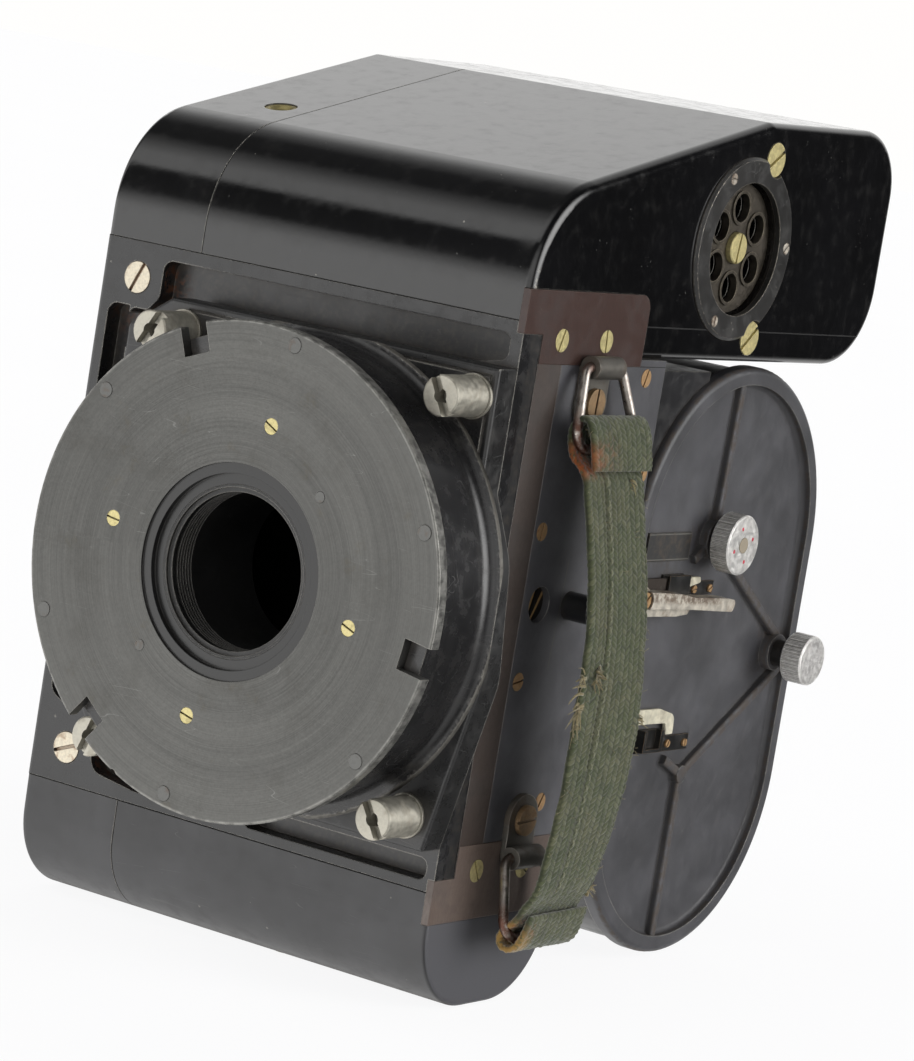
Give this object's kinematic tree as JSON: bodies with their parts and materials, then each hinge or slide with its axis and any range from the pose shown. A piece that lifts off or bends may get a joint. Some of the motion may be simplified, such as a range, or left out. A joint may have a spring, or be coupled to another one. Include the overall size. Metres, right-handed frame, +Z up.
{
  "type": "roll film camera body",
  "caption": "Large roll-film camera body with round lens flange on a raised plate, ribbed oval rear film magazine, vented top housing and webbing carrying strap.",
  "frame": {"origin": "on the lens axis, in the plane of the body casting's front face", "axes": "-Y along the lens axis towards the subject, +Y to the magazine, +Z up, +X towards the strap side"},
  "size_m": [0.2102, 0.2918, 0.3145],
  "materials": {
    "black_enamel": "gloss enamel over light alloy, chipped at edges",
    "plate_black": "semi-gloss black on machined light alloy",
    "magazine_black": "satin black on cast magnesium alloy",
    "flange_grey": "turned, dark anodised face with bright rim",
    "dark_steel": "blackened steel",
    "nickel": "dull nickel plate, stained",
    "ring_steel": "worn bright wire",
    "brass": "aged brass",
    "laminate": "cotton-phenolic laminate, reddish brown",
    "webbing": "woven olive cotton webbing",
    "knurled_alloy": "knurled bright alloy",
    "label_card": "plain pale label",
    "film": "dark film base",
    "spool_alloy": "bare alloy",
    "gear_steel": "machined steel",
    "motor_grey": "grey enamel motor case",
    "shutter_cloth": "rubberised black shutter cloth",
    "socket_black": "moulded black insulator"
  },
  "bodies": {
    "camera_body": {"front_frame": "black_enamel", "frame_screws": "dark_steel", "body_casting": "black_enamel", "mount_plate": "plate_black", "mount_barrel": "plate_black", "lens_flange": "flange_grey", "flange_rivets": "dark_steel", "flange_screws": "nickel", "threaded_throat": "dark_steel", "mount_pillars": "nickel", "top_cover_left": "black_enamel", "top_housing": "black_enamel", "housing_end_screws": "brass", "vent_ring": "plate_black", "small_screws": "nickel", "vent_screw": "brass", "bottom_cover_left": "black_enamel", "bottom_cover_right": "black_enamel", "threaded_inserts": "nickel", "trim_strip": "laminate", "side_cover": "black_enamel", "trim_plate_upper": "laminate", "trim_plate_lower": "laminate", "trim_screws": "brass", "side_cover_screws": "dark_steel", "strap_clips": "nickel", "strap_clip_screws": "nickel", "carrying_strap": "webbing", "drive_motor": "motor_grey", "shutter_blind": "shutter_cloth", "shutter_frame": "spool_alloy", "power_socket": "socket_black"},
    "magazine": {"magazine_body": "magazine_black", "film_web": "film", "pressure_plate": "spool_alloy"},
    "magazine_lid": {"magazine_cover": "magazine_black", "label_plate": "label_card", "latch_keepers": "dark_steel", "latch_fasteners": "nickel"},
    "lever": {"lock_lever": "nickel"},
    "latch": {"latch_bar": "nickel"},
    "advance": {"advance_knob": "knurled_alloy", "advance_shaft": "dark_steel"},
    "tension": {"tension_knob": "knurled_alloy", "tension_shaft": "dark_steel"},
    "supply_reel": {"supply_spool": "spool_alloy", "supply_film": "film"},
    "takeup_reel": {"takeup_spool": "spool_alloy", "takeup_film": "film"},
    "upper_roller": {"upper_guide_roller": "spool_alloy"},
    "lower_roller": {"lower_guide_roller": "spool_alloy"},
    "upper_ring": {"upper_d_ring": "ring_steel"},
    "lower_ring": {"lower_d_ring": "ring_steel"},
    "button": {"push_button": "dark_steel"},
    "adjuster": {"adjuster_screw": "brass"},
    "vent_disc": {"vent_shutter": "dark_steel"},
    "motor_spindle": {"motor_shaft": "gear_steel"},
    "idler": {"idler_gear": "gear_steel"},
    "lower_blind_roller": {"lower_shutter_roller": "gear_steel"},
    "upper_blind_roller": {"upper_shutter_roller": "gear_steel"}
  },
  "joints": [
    {"name": "magazine_slide", "type": "slide", "parent": "camera_body", "child": "magazine", "axis": [0, 1, 0], "range_m": [0, 0.12]},
    {"name": "lid_lift", "type": "slide", "parent": "magazine", "child": "magazine_lid", "axis": [1, 0, 0], "range_m": [0, 0.03]},
    {"name": "lever_turn", "type": "hinge", "parent": "magazine_lid", "child": "lever", "pos_m": [0.06, 0.1147, -0.0008], "axis": [1, 0, 0], "range_deg": [-20, 0]},
    {"name": "latch_slide", "type": "slide", "parent": "magazine_lid", "child": "latch", "axis": [0, 0, 1], "range_m": [0, 0.0045]},
    {"name": "advance_turn", "type": "hinge", "parent": "magazine_lid", "child": "advance", "pos_m": [0.06, 0.1697, 0.0193], "axis": [1, 0, 0], "continuous": true},
    {"name": "tension_turn", "type": "hinge", "parent": "magazine_lid", "child": "tension", "pos_m": [0.06, 0.2283, -0.0254], "axis": [1, 0, 0], "continuous": true},
    {"name": "supply_spin", "type": "hinge", "parent": "magazine", "child": "supply_reel", "pos_m": [0, 0.1775, 0.0175], "axis": [1, 0, 0], "continuous": true},
    {"name": "takeup_spin", "type": "hinge", "parent": "magazine", "child": "takeup_reel", "pos_m": [0, 0.1775, -0.072], "axis": [1, 0, 0], "continuous": true},
    {"name": "upper_roller_spin", "type": "hinge", "parent": "magazine", "child": "upper_roller", "pos_m": [0, 0.1066, 0.048], "axis": [1, 0, 0], "continuous": true},
    {"name": "lower_roller_spin", "type": "hinge", "parent": "magazine", "child": "lower_roller", "pos_m": [0, 0.1066, -0.048], "axis": [1, 0, 0], "continuous": true},
    {"name": "upper_ring_swing", "type": "hinge", "parent": "camera_body", "child": "upper_ring", "pos_m": [0.0736, 0.047, 0.084], "axis": [0, 1, 0], "range_deg": [-12, 6]},
    {"name": "lower_ring_swing", "type": "hinge", "parent": "camera_body", "child": "lower_ring", "pos_m": [0.0738, 0.047, -0.0872], "axis": [0, 1, 0], "range_deg": [-8, 6]},
    {"name": "button_press", "type": "slide", "parent": "camera_body", "child": "button", "axis": [-1, 0, 0], "range_m": [0, 0.003]},
    {"name": "adjuster_turn", "type": "hinge", "parent": "camera_body", "child": "adjuster", "pos_m": [0.06, 0.0376, 0.001], "axis": [1, 0, 0], "range_deg": [-135, 135]},
    {"name": "vent_turn", "type": "hinge", "parent": "camera_body", "child": "vent_disc", "pos_m": [0.06, 0.1347, 0.1275], "axis": [1, 0, 0], "range_deg": [0, 30]},
    {"name": "lower_blind_spin", "type": "hinge", "parent": "camera_body", "child": "lower_blind_roller", "pos_m": [0, 0.079, -0.04983], "axis": [1, 0, 0], "continuous": true},
    {"name": "upper_blind_spin", "type": "hinge", "parent": "camera_body", "child": "upper_blind_roller", "pos_m": [0, 0.079, 0.04983], "axis": [1, 0, 0], "continuous": true},
    {"name": "idler_spin", "type": "hinge", "parent": "camera_body", "child": "idler", "pos_m": [-0.088, 0.043, -0.062], "axis": [1, 0, 0], "continuous": true},
    {"name": "motor_spin", "type": "hinge", "parent": "camera_body", "child": "motor_spindle", "pos_m": [0, 0.043, -0.1], "axis": [1, 0, 0], "continuous": true}
  ],
  "couplings": [
    {"joint": "latch_slide", "follows": "lever_turn", "m_per_rad": -0.0125},
    {"joint": "takeup_spin", "follows": "supply_spin", "ratio": 1.1389},
    {"joint": "upper_roller_spin", "follows": "supply_spin", "ratio": 6.6667},
    {"joint": "lower_roller_spin", "follows": "supply_spin", "ratio": 6.6667},
    {"joint": "upper_blind_spin", "follows": "lower_blind_spin", "ratio": 1},
    {"joint": "idler_spin", "follows": "lower_blind_spin", "ratio": -0.35714},
    {"joint": "motor_spin", "follows": "lower_blind_spin", "ratio": 1}
  ]
}
